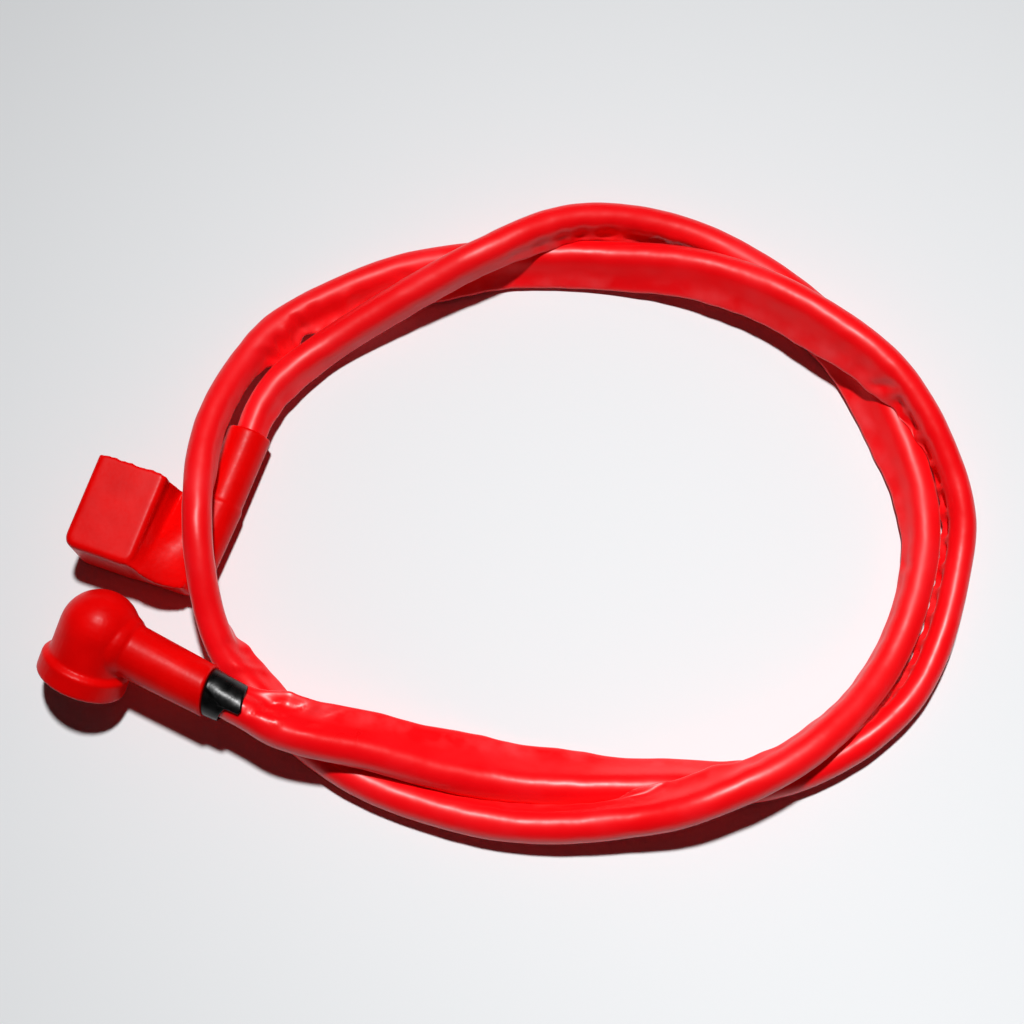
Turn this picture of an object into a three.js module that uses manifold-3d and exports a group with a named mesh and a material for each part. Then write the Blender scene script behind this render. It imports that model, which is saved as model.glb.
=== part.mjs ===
// Battery cable. A copper conductor in black insulation lies in a loose red PVC sleeve. One end
// has a ring lug under a right-angle boot, the other end has a flag lug inside a battery hood
// with a neck beside it. Millimetres, +Z up, the cable lies on Z = 0.
import * as THREE from 'three';
import { mergeVertices } from 'three/addons/utils/BufferGeometryUtils.js';
import Module from 'manifold-3d';

const wasm = await Module();
wasm.setup();

// Cable
const conductorRadius = 1.8;
const insulationWall = 0.7;
const sleeveWall = 0.5;
const sleeveSlack = 0.35;
const fitGap = 0.3;
const insulationBore = conductorRadius + fitGap;
const insulationRadius = insulationBore + insulationWall;
const sleeveBore = insulationRadius + sleeveSlack;
const sleeveRadius = sleeveBore + sleeveWall;
const cableSteps = 72;

// Right-angle boot: a domed cap over the lug and an arm along the cable
const capRadius = 8.5;
const capWall = 1.5;
const collarRadius = 9.7;
const collarHeight = 5;
const collarLip = 0.5;
const armHeight = 11.7;
const domeHeight = 12.7;
const armLength = 28;
const armRootRadius = 5.8;
const armEndRadius = 5.4;
const armFlare = 1.2;
const armSlant = THREE.MathUtils.degToRad(12);
const bootBore = insulationRadius + fitGap;

// Tape around the start of the sleeve, from the arm's end on
const tapeThickness = 1;
const tapeTaper = 0.4;
const tapeLength = 6.5;

// Ring lugs
const lugThickness = 1.6;
const eyeRadius = 6;
const eyeHoleRadius = 3.2;
const palmHalfWidth = 2.7;
const barrelWall = 0.7;
const barrelLength = 8;
const barrelBore = conductorRadius + fitGap;
const barrelRadius = barrelBore + barrelWall;
const ringBarrelStart = 9;

// Battery hood: an open box over the terminal, a fairing and a neck beside it
const hoodWidth = 15.8;
const hoodHeight = 16;
const hoodLength = 21.1;
const hoodWall = 1.5;
const hoodEdge = 1.2;
const hoodCorner = 1.6;
const neckOffset = 26.5;
const neckHeight = 5.6;
const fairingEndRadius = 4.2;
const fairingRadius = 4.9;
const neckRootRadius = 4.6;
const neckEndRadius = 4.9;
const neckStep = 21;
const neckLength = 38.4;
const neckSocketDepth = 4;
const neckSocketRadius = sleeveRadius + 0.45;
const neckLip = 0.35;
const grooveDepth = 7.6;
const webShoulder = 1.8;
const webFoot = 0.2;
const webBulge = 1.2;
const webSteps = 9;
const flashReach = 0.5;
const flashThickness = 0.5;
const flagSetback = 8;

// Where the two ends lie: the boot stands on its collar's rim, the hood lies on its broad side
const bootDirection = new THREE.Vector3(0.888, -0.46, 0).normalize();
const capRise = THREE.MathUtils.degToRad(31);
const bootPlace = new THREE.Vector2(-9.8, -15.1);
const hoodPlace = new THREE.Vector3(-18.43, 3.9, 0);
const hoodTurn = THREE.MathUtils.degToRad(-19.3);

// Route of the free cable on its centre line, from the boot's arm to the hood's neck
const freeRoute = [
  [29.6, -35.3, 13.3],
  [46, -38.9, 9.7],
  [72.5, -44.8, 4.4],
  [106, -46.3, 3.8],
  [137.1, -43.7, 3.7],
  [162.1, -27, 3.8],
  [173.7, 1, 4],
  [174.5, 16.7, 6.1],
  [163.8, 40.3, 10.8],
  [145.7, 57, 11.2],
  [122.5, 69.3, 7.9],
  [92.5, 74, 4],
  [56, 71.6, 4.1],
  [30, 60.6, 3.9],
  [21.2, 52.5, 5.8],
  [11.8, 32.1, 12.6],
  [10.4, 7.5, 16.9],
  [14.2, -14.1, 10.3],
  [20.5, -24.2, 6.2],
  [42.3, -43, 3.8],
  [74.9, -53.6, 4.8],
  [103.1, -53.1, 7.5],
  [118.9, -49.3, 11],
  [139.5, -38.7, 10.6],
  [158.1, -18.5, 4.5],
  [166.8, 7.6, 3.8],
  [163.4, 31, 3.7],
  [148.1, 58.1, 3.8],
  [119.7, 78.2, 4.3],
  [92.6, 81, 8.9],
  [70.4, 71.2, 12.1],
  [59.2, 65.6, 10.1],
  [35.9, 52.4, 5.2],
  [26, 44.3, 5.4],
];

// Materials
const paint = (color, roughness, metalness = 0) =>
  new THREE.MeshStandardMaterial({ color, roughness, metalness });
const copper = paint(0xb87345, 0.4, 1);
const tinnedCopper = paint(0xc4c6c8, 0.35, 1);
const blackInsulation = paint(0x161616, 0.5);
const glossyRed = paint(0xf01018, 0.2);
const satinRed = paint(0xd40404, 0.42);
const blackTape = paint(0x0a0a0a, 0.18);

// A closed manifold solid from a three.js geometry, with its faces outwards
function solid(geometry) {
  const bare = geometry.clone();
  bare.deleteAttribute('normal');
  bare.deleteAttribute('uv');
  const merged = mergeVertices(bare, 1e-4);
  const corner = merged.attributes.position.array;
  const index = merged.index.array;
  const faces = [];
  let volume = 0;
  for (let i = 0; i < index.length; i += 3) {
    const [a, b, c] = [index[i], index[i + 1], index[i + 2]];
    if (a === b || b === c || c === a) continue;
    faces.push([a, b, c]);
    const [p, q, r] = [a, b, c].map((k) => new THREE.Vector3().fromArray(corner, 3 * k));
    volume += p.dot(q.cross(r));
  }
  const triVerts = faces.flatMap(([a, b, c]) => (volume > 0 ? [a, b, c] : [a, c, b]));
  const mesh = new wasm.Mesh({
    numProp: 3,
    vertProperties: new Float32Array(corner),
    triVerts: new Uint32Array(triVerts),
  });
  return new wasm.Manifold(mesh);
}

// A named mesh from a manifold solid
function meshOf(name, manifold, material) {
  const { numProp, vertProperties, triVerts } = manifold.getMesh();
  const geometry = new THREE.BufferGeometry();
  const position = [];
  for (let i = 0; i < vertProperties.length; i += numProp) {
    position.push(vertProperties[i], vertProperties[i + 1], vertProperties[i + 2]);
  }
  geometry.setAttribute('position', new THREE.Float32BufferAttribute(position, 3));
  geometry.setIndex([...triVerts]);
  geometry.computeVertexNormals();
  const mesh = new THREE.Mesh(geometry, material);
  mesh.name = name;
  return mesh;
}

// Points of an arc in a profile, from angle a to angle b in degrees
function arc(x, y, radius, a, b, steps) {
  return Array.from({ length: steps + 1 }, (_, i) => {
    const angle = THREE.MathUtils.degToRad(a + ((b - a) * i) / steps);
    return new THREE.Vector2(x + radius * Math.cos(angle), y + radius * Math.sin(angle));
  });
}

// A revolved solid about its own Z axis, from a profile of (radius, height)
function revolved(profile, sides) {
  return new THREE.LatheGeometry(profile, sides).rotateX(Math.PI / 2);
}

// A right cylinder along Z from z0 to z1
function rod(radius, z0, z1, sides = 32) {
  const profile = [
    new THREE.Vector2(0, z0),
    new THREE.Vector2(radius, z0),
    new THREE.Vector2(radius, z1),
    new THREE.Vector2(0, z1),
  ];
  return revolved(profile, sides);
}

// A rectangular block between two corners
function block(x0, y0, z0, x1, y1, z1) {
  return new THREE.BoxGeometry(x1 - x0, y1 - y0, z1 - z0)
    .translate((x0 + x1) / 2, (y0 + y1) / 2, (z0 + z1) / 2);
}

// Boot frame: X along the arm, Z along the cap towards its dome, origin where the axes meet
const capAxis = new THREE.Vector3(-bootDirection.y, bootDirection.x, 0)
  .multiplyScalar(Math.cos(capRise))
  .setZ(Math.sin(capRise));
const bootOrigin = new THREE.Vector3(
  bootPlace.x,
  bootPlace.y,
  collarRadius * Math.cos(capRise) + (armHeight - collarLip) * Math.sin(capRise),
);
const bootFrame = new THREE.Matrix4()
  .makeBasis(bootDirection, capAxis.clone().cross(bootDirection), capAxis)
  .setPosition(bootOrigin);

// Hood frame: X across the hood towards its neck, Y towards its mouth, origin at its corner
const hoodFrame = new THREE.Matrix4().makeRotationZ(hoodTurn).setPosition(hoodPlace);

// Slab across the arm whose faces lie parallel to the arm's slanted end, at distances from it
function slantedSlab(from, to) {
  return block(from, -2 * armEndRadius, -1, to, 2 * armEndRadius, 3 * armEndRadius)
    .rotateY(-armSlant)
    .translate(armLength, 0, -armEndRadius);
}

function rightAngleBoot() {
  const mouth = -armHeight;
  const dome = domeHeight - armHeight;
  const capOuter = [
    new THREE.Vector2(0, mouth),
    new THREE.Vector2(collarRadius - collarLip, mouth),
    new THREE.Vector2(collarRadius, mouth + collarLip),
    new THREE.Vector2(collarRadius, mouth + collarHeight - collarLip),
    new THREE.Vector2(collarRadius - collarLip, mouth + collarHeight),
    new THREE.Vector2(capRadius, mouth + collarHeight + collarLip),
    ...arc(0, dome, capRadius, 0, 90, 9),
  ];
  const inner = capRadius - capWall;
  const cavity = [
    new THREE.Vector2(0, mouth - 1),
    new THREE.Vector2(inner + collarLip, mouth - 1),
    new THREE.Vector2(inner + collarLip, mouth),
    new THREE.Vector2(inner, mouth + 2 * collarLip),
    ...arc(0, dome, inner, 0, 90, 7),
  ];
  const armProfile = [
    new THREE.Vector2(0, 0),
    new THREE.Vector2(armRootRadius + armFlare, 0),
    new THREE.Vector2(armRootRadius + armFlare, capRadius - 2 * armFlare),
    ...arc(armRootRadius + armFlare, capRadius, armFlare, 240, 180, 3),
    new THREE.Vector2(armEndRadius, armLength),
    new THREE.Vector2(0, armLength),
  ];
  const arm = revolved(armProfile, 32).rotateY(Math.PI / 2);
  const bore = rod(bootBore, 0, armLength + 1, 24).rotateY(Math.PI / 2);
  // The arm's end is cut off at a slant, shorter on the dome's side
  const cut = slantedSlab(0, armLength);
  return solid(revolved(capOuter, 40)).add(solid(arm)).subtract(solid(revolved(cavity, 36)))
    .subtract(solid(bore)).subtract(solid(cut));
}

// Flat eye with its hole and a palm towards +X whose centre line lies at the given height
function eyePlate(length, height = 0) {
  const plate = new THREE.Shape();
  const upper = Math.asin((height + palmHalfWidth) / eyeRadius);
  const lower = Math.asin((height - palmHalfWidth) / eyeRadius);
  plate.absarc(0, 0, eyeRadius, upper, 2 * Math.PI + lower, false);
  plate.lineTo(length, height - palmHalfWidth);
  plate.lineTo(length, height + palmHalfWidth);
  plate.closePath();
  const hole = new THREE.Path();
  hole.absarc(0, 0, eyeHoleRadius, 0, 2 * Math.PI, true);
  plate.holes.push(hole);
  return new THREE.ExtrudeGeometry(plate, {
    depth: lugThickness,
    bevelEnabled: false,
    curveSegments: 28,
  });
}

// Straight lug of the boot: the eye lies across the cap, the barrel lies along the arm
function ringLug() {
  const plate = eyePlate(ringBarrelStart - lugThickness / 2).translate(0, 0, -lugThickness / 2);
  const barrelEnd = ringBarrelStart + barrelLength;
  const barrel = rod(barrelRadius, ringBarrelStart - lugThickness, barrelEnd, 24)
    .rotateY(Math.PI / 2);
  const bore = rod(barrelBore, ringBarrelStart, barrelEnd + 1, 24).rotateY(Math.PI / 2);
  return solid(plate).add(solid(barrel)).subtract(solid(bore));
}

// Flag lug of the hood: the eye stands across the box, the barrel lies along the neck
const eyeCentreX = hoodWidth / 2;
const eyeCentreZ = hoodHeight / 2;

function flagLug() {
  const reach = neckOffset - eyeCentreX;
  const drop = neckHeight - eyeCentreZ;
  const plate = eyePlate(reach + barrelRadius, drop)
    .rotateX(Math.PI / 2)
    .translate(eyeCentreX, flagSetback + lugThickness, eyeCentreZ);
  const start = flagSetback + lugThickness - fitGap;
  const end = flagSetback + lugThickness + barrelLength;
  const along = (geometry) => geometry.rotateX(-Math.PI / 2).translate(neckOffset, 0, neckHeight);
  const barrel = along(rod(barrelRadius, start, end, 24));
  const bore = along(rod(barrelBore, flagSetback + lugThickness, end + 1, 24));
  return solid(plate).add(solid(barrel)).subtract(solid(bore));
}

// A closed loft through sections with as many points (x, y, z) each, with a fan at each end
function loft(sections) {
  const count = sections[0].length;
  const index = [];
  for (let k = 0; k < sections.length - 1; k += 1) {
    for (let i = 0; i < count; i += 1) {
      const [a, b] = [k * count + i, k * count + ((i + 1) % count)];
      index.push(a, b, a + count, b, b + count, a + count);
    }
  }
  const last = (sections.length - 1) * count;
  for (let i = 1; i < count - 1; i += 1) index.push(0, i + 1, i, last, last + i, last + i + 1);
  const geometry = new THREE.BufferGeometry();
  geometry.setAttribute('position', new THREE.Float32BufferAttribute(sections.flat(2), 3));
  geometry.setIndex(index);
  return geometry;
}

// Web beside the box: it falls from the box's edge to the fairing's crown, bulges at the closed
// end, and has a groove along the box that deepens towards the mouth
function hoodWeb() {
  const wall = hoodWidth - hoodWall;
  const run = neckOffset - hoodWidth;
  const section = (share) => {
    const radius = THREE.MathUtils.lerp(fairingEndRadius, fairingRadius, share) - webFoot;
    const ridge = hoodHeight - THREE.MathUtils.lerp(webFoot, hoodEdge, share);
    const depth = grooveDepth * THREE.MathUtils.smoothstep(share, 0, 1);
    const point = (x, z, groove) => {
      const u = THREE.MathUtils.clamp((x - hoodWidth) / run, 0, 1);
      const bulge = hoodEdge / 4 - webBulge * Math.sin(Math.PI * u) ** 0.8;
      return [x, THREE.MathUtils.lerp(bulge, hoodLength, share), z - groove * depth];
    };
    const fall = (x) => THREE.MathUtils.mapLinear(x, wall, neckOffset, ridge, neckHeight + radius);
    const upper = [0.8, 0.6, 0.4, 0.2].map((u) => {
      const x = THREE.MathUtils.lerp(hoodWidth + webShoulder, neckOffset, u);
      return point(x, fall(x), (1 - u) ** 2);
    });
    return [
      point(wall, webFoot, 0),
      point(neckOffset, neckHeight - radius, 0),
      point(neckOffset, neckHeight + radius, 0),
      ...upper,
      point(hoodWidth + webShoulder, fall(hoodWidth + webShoulder), 1),
      point(hoodWidth + webShoulder / 4, fall(hoodWidth + webShoulder / 4), 0.45),
      point(wall, ridge, 0),
    ];
  };
  return loft(Array.from({ length: webSteps }, (_, k) => section(k / (webSteps - 1))));
}

// Torn flash: a thin ragged fin along the upper lip of the hood's mouth
function mouthFlash() {
  const tears = [0, 0.7, 0.3, 1, 0.5, 0.1, 0.6, 0.4, 0.9, 0.2, 0.1, 0.5, 0.3, 0.8, 1, 0.4, 0.9, 0];
  const start = hoodEdge;
  const step = (hoodWidth - 2 * hoodEdge) / (tears.length - 1);
  const fin = new THREE.Shape();
  fin.moveTo(start, hoodLength - hoodWall / 2);
  fin.lineTo(hoodWidth - hoodEdge, hoodLength - hoodWall / 2);
  for (let k = tears.length - 1; k >= 0; k -= 1) {
    fin.lineTo(start + k * step, hoodLength + flashReach * (0.1 + tears[k]));
  }
  fin.closePath();
  return new THREE.ExtrudeGeometry(fin, { depth: flashThickness, bevelEnabled: false })
    .translate(0, 0, hoodHeight - 1.5 * flashThickness);
}

function batteryHood() {
  // Box with rounded edges, cut square at its mouth
  const outline = new THREE.Shape();
  const inset = hoodEdge;
  const far = hoodLength + 2 * hoodEdge;
  outline.moveTo(inset, far);
  outline.lineTo(inset, inset + hoodCorner);
  outline.quadraticCurveTo(inset, inset, inset + hoodCorner, inset);
  outline.lineTo(hoodWidth - inset - hoodCorner, inset);
  outline.quadraticCurveTo(hoodWidth - inset, inset, hoodWidth - inset, inset + hoodCorner);
  outline.lineTo(hoodWidth - inset, far);
  outline.closePath();
  const box = new THREE.ExtrudeGeometry(outline, {
    depth: hoodHeight - 2 * hoodEdge,
    bevelEnabled: true,
    bevelThickness: hoodEdge,
    bevelSize: hoodEdge,
    bevelSegments: 3,
    curveSegments: 4,
  }).translate(0, 0, hoodEdge);

  // Fairing with a domed end, stepping down to the neck
  const tube = [
    ...arc(0, fairingEndRadius, fairingEndRadius, -90, 0, 7),
    new THREE.Vector2(fairingRadius, neckStep),
    new THREE.Vector2(neckRootRadius, neckStep + neckLip),
    new THREE.Vector2(neckEndRadius, neckLength),
    new THREE.Vector2(0, neckLength),
  ];
  const alongNeck = (geometry) =>
    geometry.rotateX(-Math.PI / 2).translate(neckOffset, 0, neckHeight);
  const fairing = alongNeck(revolved(tube, 32));

  // Hollow box, bore for the cable, and the slot between them for the lug's palm
  const room = block(hoodWall, hoodWall, hoodWall, hoodWidth - hoodWall, hoodLength + 1,
    hoodHeight - hoodWall);
  const bore = alongNeck(rod(bootBore, flagSetback - fitGap, neckLength + 1, 24));
  const socket = alongNeck(rod(neckSocketRadius, neckLength - neckSocketDepth, neckLength + 1, 24));
  const palmTop = neckHeight + palmHalfWidth;
  const palmFoot = neckHeight - palmHalfWidth;
  const slot = block(hoodWidth - 2 * hoodWall, flagSetback - fitGap, palmFoot - fitGap,
    neckOffset + barrelRadius + fitGap, flagSetback + lugThickness + fitGap, palmTop + fitGap);
  const trim = block(-1, hoodLength, -1, hoodWidth + 1, hoodLength + 3 * hoodEdge + 1,
    hoodHeight + 1);
  return solid(box).subtract(solid(trim)).add(solid(mouthFlash())).add(solid(hoodWeb()))
    .add(solid(fairing))
    .subtract(solid(room)).subtract(solid(slot)).subtract(solid(bore)).subtract(solid(socket));
}

// Cable stations: the route starts in the ring lug's barrel and ends in the flag lug's barrel
const onArm = (distance) => new THREE.Vector3(distance, 0, 0).applyMatrix4(bootFrame);
const onNeck = (distance) =>
  new THREE.Vector3(neckOffset, distance, neckHeight).applyMatrix4(hoodFrame);
const cableStart = ringBarrelStart + fitGap;
const cableEnd = flagSetback + lugThickness + fitGap;
const route = new THREE.CatmullRomCurve3([
  onArm(cableStart),
  onArm(armLength),
  onArm(armLength + tapeLength + 2),
  ...freeRoute.map((point) => new THREE.Vector3(...point)),
  onNeck(neckLength + 6),
  onNeck(neckLength - 2),
  onNeck(cableEnd),
], false, 'centripetal');
route.arcLengthDivisions = 2000;
const routeLength = route.getLength();

// A stretch of the route between two distances, which shares the cable's common stations
class Stretch extends THREE.Curve {
  constructor(from, to) {
    super();
    const step = routeLength / cableSteps;
    this.stations = [from];
    for (let k = 1; k < cableSteps; k += 1) {
      if (k * step > from + step / 4 && k * step < to - step / 4) this.stations.push(k * step);
    }
    this.stations.push(to);
  }

  share(u) {
    const place = u * (this.stations.length - 1);
    const low = Math.min(Math.floor(place), this.stations.length - 2);
    const part = place - low;
    return (this.stations[low] * (1 - part) + this.stations[low + 1] * part) / routeLength;
  }

  getPoint(t, target) {
    return route.getPointAt(this.share(t), target);
  }

  getPointAt(u, target) {
    return route.getPointAt(this.share(u), target);
  }

  getTangentAt(u, target) {
    return route.getTangentAt(this.share(u), target);
  }
}

// A tube or a rod along a stretch of the route
function sweep(name, outer, inner, from, to, sides, material) {
  const section = new THREE.Shape(arc(0, 0, outer, 0, 360 - 360 / sides, sides - 1));
  if (inner > 0) {
    section.holes.push(new THREE.Path(arc(0, 0, inner, 0, 360 - 360 / sides, sides - 1).reverse()));
  }
  const path = new Stretch(from, to);
  const geometry = new THREE.ExtrudeGeometry(section, {
    steps: path.stations.length - 1,
    extrudePath: path,
    bevelEnabled: false,
  });
  const mesh = new THREE.Mesh(geometry, material);
  mesh.name = name;
  return mesh;
}

// Tape wound around the sleeve's start, revolved about the arm's axis
function tapeWrap() {
  const bore = sleeveRadius + fitGap;
  const start = armLength - 2 * armEndRadius * Math.tan(armSlant);
  const end = armLength + tapeLength;
  const profile = [
    new THREE.Vector2(bore, start),
    new THREE.Vector2(bore + tapeThickness, start),
    new THREE.Vector2(bore + tapeThickness - tapeTaper, end),
    new THREE.Vector2(bore, end),
    new THREE.Vector2(bore, start),
  ];
  const ring = revolved(profile, 32).rotateY(Math.PI / 2);
  return solid(ring).subtract(solid(slantedSlab(-armLength, fitGap)));
}

const fromArm = (distance) => distance - cableStart;
const fromNeck = (distance) => routeLength - (distance - cableEnd);
const insulationStart = fromArm(ringBarrelStart + barrelLength + fitGap);
const insulationEnd = fromNeck(flagSetback + lugThickness + barrelLength + fitGap);
const sleeveStart = fromArm(armLength + fitGap);
const sleeveEnd = fromNeck(neckLength - neckSocketDepth + fitGap);

const boot = new THREE.Group();
boot.add(
  meshOf('right_angle_boot', rightAngleBoot(), satinRed),
  meshOf('ring_lug', ringLug(), tinnedCopper),
  meshOf('tape_wrap', tapeWrap(), blackTape),
);
boot.applyMatrix4(bootFrame);

const hood = new THREE.Group();
hood.add(
  meshOf('battery_hood', batteryHood(), satinRed),
  meshOf('flag_lug', flagLug(), tinnedCopper),
);
hood.applyMatrix4(hoodFrame);

const cable = new THREE.Group();
cable.add(
  sweep('copper_conductor', conductorRadius, 0, 0, routeLength, 8, copper),
  sweep('cable_insulation', insulationRadius, insulationBore, insulationStart, insulationEnd, 10,
    blackInsulation),
  sweep('outer_sleeve', sleeveRadius, sleeveBore, sleeveStart, sleeveEnd, 12, glossyRed),
);

const batteryCable = new THREE.Group();
batteryCable.add(boot, hood, cable);
export default batteryCable;
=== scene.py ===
"""Battery cable: a loose red sleeve in two turns, a right-angle boot and a battery hood.

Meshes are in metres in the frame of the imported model. A length written in millimetres is
multiplied by MM where it enters a mesh or a material.
"""
import bpy
import numpy as np
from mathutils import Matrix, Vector


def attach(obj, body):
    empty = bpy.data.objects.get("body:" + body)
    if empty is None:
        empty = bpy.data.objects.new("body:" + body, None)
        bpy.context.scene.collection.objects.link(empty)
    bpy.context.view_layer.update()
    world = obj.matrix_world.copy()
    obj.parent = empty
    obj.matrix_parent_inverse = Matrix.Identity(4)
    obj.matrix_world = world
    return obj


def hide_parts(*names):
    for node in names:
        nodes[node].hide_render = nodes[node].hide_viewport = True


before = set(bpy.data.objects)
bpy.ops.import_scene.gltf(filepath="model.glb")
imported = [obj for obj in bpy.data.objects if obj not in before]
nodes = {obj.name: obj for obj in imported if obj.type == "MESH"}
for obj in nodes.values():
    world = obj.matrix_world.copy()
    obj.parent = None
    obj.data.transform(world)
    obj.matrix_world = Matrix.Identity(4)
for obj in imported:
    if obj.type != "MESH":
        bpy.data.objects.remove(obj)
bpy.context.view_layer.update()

MM = 0.001
UP = np.array([0.0, 0.0, 1.0])

# Camera at the photograph's angle: 75 degrees above the floor, 0.42 m from the loop's middle
AIM = np.array([77.0, 15.0, 0.0]) * MM
ELEVATION = np.radians(75.0)
CAMERA_DISTANCE = 0.42
LENS_MM = 66.8
SENSOR_MM = 36.0
NEAR_CLIP = 0.01

towards_camera = np.array([0.0, -np.cos(ELEVATION), np.sin(ELEVATION)])
camera_data = bpy.data.cameras.new("camera")
camera_data.lens = LENS_MM
camera_data.sensor_width = SENSOR_MM
camera_data.clip_start = NEAR_CLIP
camera = bpy.data.objects.new("camera", camera_data)
camera.location = Vector(AIM + towards_camera * CAMERA_DISTANCE)
camera.rotation_euler = (np.pi / 2 - ELEVATION, 0.0, 0.0)
bpy.context.collection.objects.link(camera)
bpy.context.scene.camera = camera


# Meshes from arrays
def add_object(name, vertices, faces, smooth=True):
    """A mesh object at the origin whose place is in its vertices (n x 3, metres)."""
    mesh = bpy.data.meshes.new(name)
    mesh.from_pydata(np.asarray(vertices).tolist(), [], faces)
    mesh.polygons.foreach_set("use_smooth", np.full(len(mesh.polygons), smooth))
    mesh.update()
    made = bpy.data.objects.new(name, mesh)
    bpy.context.collection.objects.link(made)
    return made


def tube_faces(rings, around):
    """Quads of a tube whose rings are stored one after another, with a fan of faces at each end."""
    ring = np.arange(rings - 1)[:, None] * around
    here = np.arange(around)[None, :]
    then = (here + 1) % around
    quads = np.stack([ring + here, ring + then, ring + around + then, ring + around + here], -1)
    faces = quads.reshape(-1, 4).tolist()
    first_centre, last_centre = rings * around, rings * around + 1
    last_ring = (rings - 1) * around
    for k in range(around):
        after = (k + 1) % around
        faces.append([first_centre, after, k])
        faces.append([last_centre, last_ring + k, last_ring + after])
    return faces


def tube_object(name, grid):
    """A closed tube from a grid (rings, around, 3) of points, with its end faces fanned."""
    rings, around = grid.shape[:2]
    centres = np.stack([grid[0].mean(0), grid[-1].mean(0)])
    return add_object(name, np.vstack([grid.reshape(-1, 3), centres]), tube_faces(rings, around))


def ring_solid(name, grid):
    """A closed ring from a grid (rows, turns, 3): both directions close on themselves."""
    rows, turns = grid.shape[:2]
    row = np.arange(rows)[:, None] * turns
    below = (np.arange(rows)[:, None] + 1) % rows * turns
    here = np.arange(turns)[None, :]
    then = (here + 1) % turns
    quads = np.stack([row + here, row + then, below + then, below + here], -1).reshape(-1, 4)
    return add_object(name, grid.reshape(-1, 3), quads.tolist())


def paint_attribute(made, name, values):
    """A float for each vertex, which the material reads by its name."""
    layer = made.data.attributes.new(name, "FLOAT", "POINT")
    layer.data.foreach_set("value", np.asarray(values, np.float32))


# Values along the cable
def keyed(table, at, column):
    """Value of a column of a table of (distance, values ...): a smoothstep from row to row."""
    table = np.asarray(table, float)
    x, y = table[:, 0], table[:, column]
    span = np.clip(np.searchsorted(x, at, side="right") - 1, 0, len(x) - 2)
    t = np.clip((at - x[span]) / (x[span + 1] - x[span]), 0, 1)
    t = t * t * (3 - 2 * t)
    return y[span] * (1 - t) + y[span + 1] * t


def wander(at, height, period, seed):
    """Irregular wave: height times the mean of three sines of close periods with drawn phases."""
    period_shares = (0.71, 1.0, 1.37)
    draw = np.random.default_rng(seed)
    total = np.zeros_like(at)
    for share in period_shares:
        total += np.sin(2 * np.pi * at / (period * share) + draw.uniform(0, 2 * np.pi))
    return height * (total / len(period_shares))


def kept_above(value, least, blend):
    """Smooth maximum of a value and the least one: least + blend * ln(1 + exp(excess / blend))."""
    return least + blend * np.log1p(np.exp((value - least) / blend))


# Places and sizes of the two ends, as in the part's source (millimetres)
BOOT_HEADING = np.array([0.888, -0.46, 0.0])
BOOT_PLACE = (-9.8, -15.1)
CAP_RISE = np.radians(31.0)
COLLAR_RADIUS = 9.7
COLLAR_DROP = 11.2
ARM_LENGTH = 28.0
ARM_RADIUS = 5.4
ARM_SLANT = np.radians(12.0)
TAPE_LENGTH = 6.5
RING_BARREL_START = 9.0
HOOD_CORNER = np.array([-18.43, 3.9, 0.0])
HOOD_TURN = np.radians(-19.3)
NECK_OFFSET = 26.5
NECK_HEIGHT = 5.6
NECK_LENGTH = 38.4
SOCKET_DEPTH = 4.0
FLAG_SETBACK = 8.0
LUG_THICKNESS = 1.6
FIT_GAP = 0.3
CABLE_START = RING_BARREL_START + FIT_GAP
CABLE_END = FLAG_SETBACK + LUG_THICKNESS + FIT_GAP

BOOT_AXIS = BOOT_HEADING / np.linalg.norm(BOOT_HEADING)
CAP_AXIS = np.array([-BOOT_AXIS[1], BOOT_AXIS[0], 0.0]) * np.cos(CAP_RISE) + UP * np.sin(CAP_RISE)
BOOT_ORIGIN = np.array([*BOOT_PLACE, COLLAR_RADIUS * np.cos(CAP_RISE) + COLLAR_DROP * np.sin(CAP_RISE)])
HOOD_ACROSS = np.array([np.cos(HOOD_TURN), np.sin(HOOD_TURN), 0.0])
HOOD_ALONG = np.array([-np.sin(HOOD_TURN), np.cos(HOOD_TURN), 0.0])


def on_arm(distance):
    """Point on the axis of the boot's arm, in millimetres from where the cap's axis meets it."""
    return BOOT_ORIGIN + BOOT_AXIS * distance


def on_neck(distance):
    """Point on the axis of the hood's neck, in millimetres from the hood's closed side."""
    return HOOD_CORNER + HOOD_ACROSS * NECK_OFFSET + HOOD_ALONG * distance + UP * NECK_HEIGHT


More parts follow.
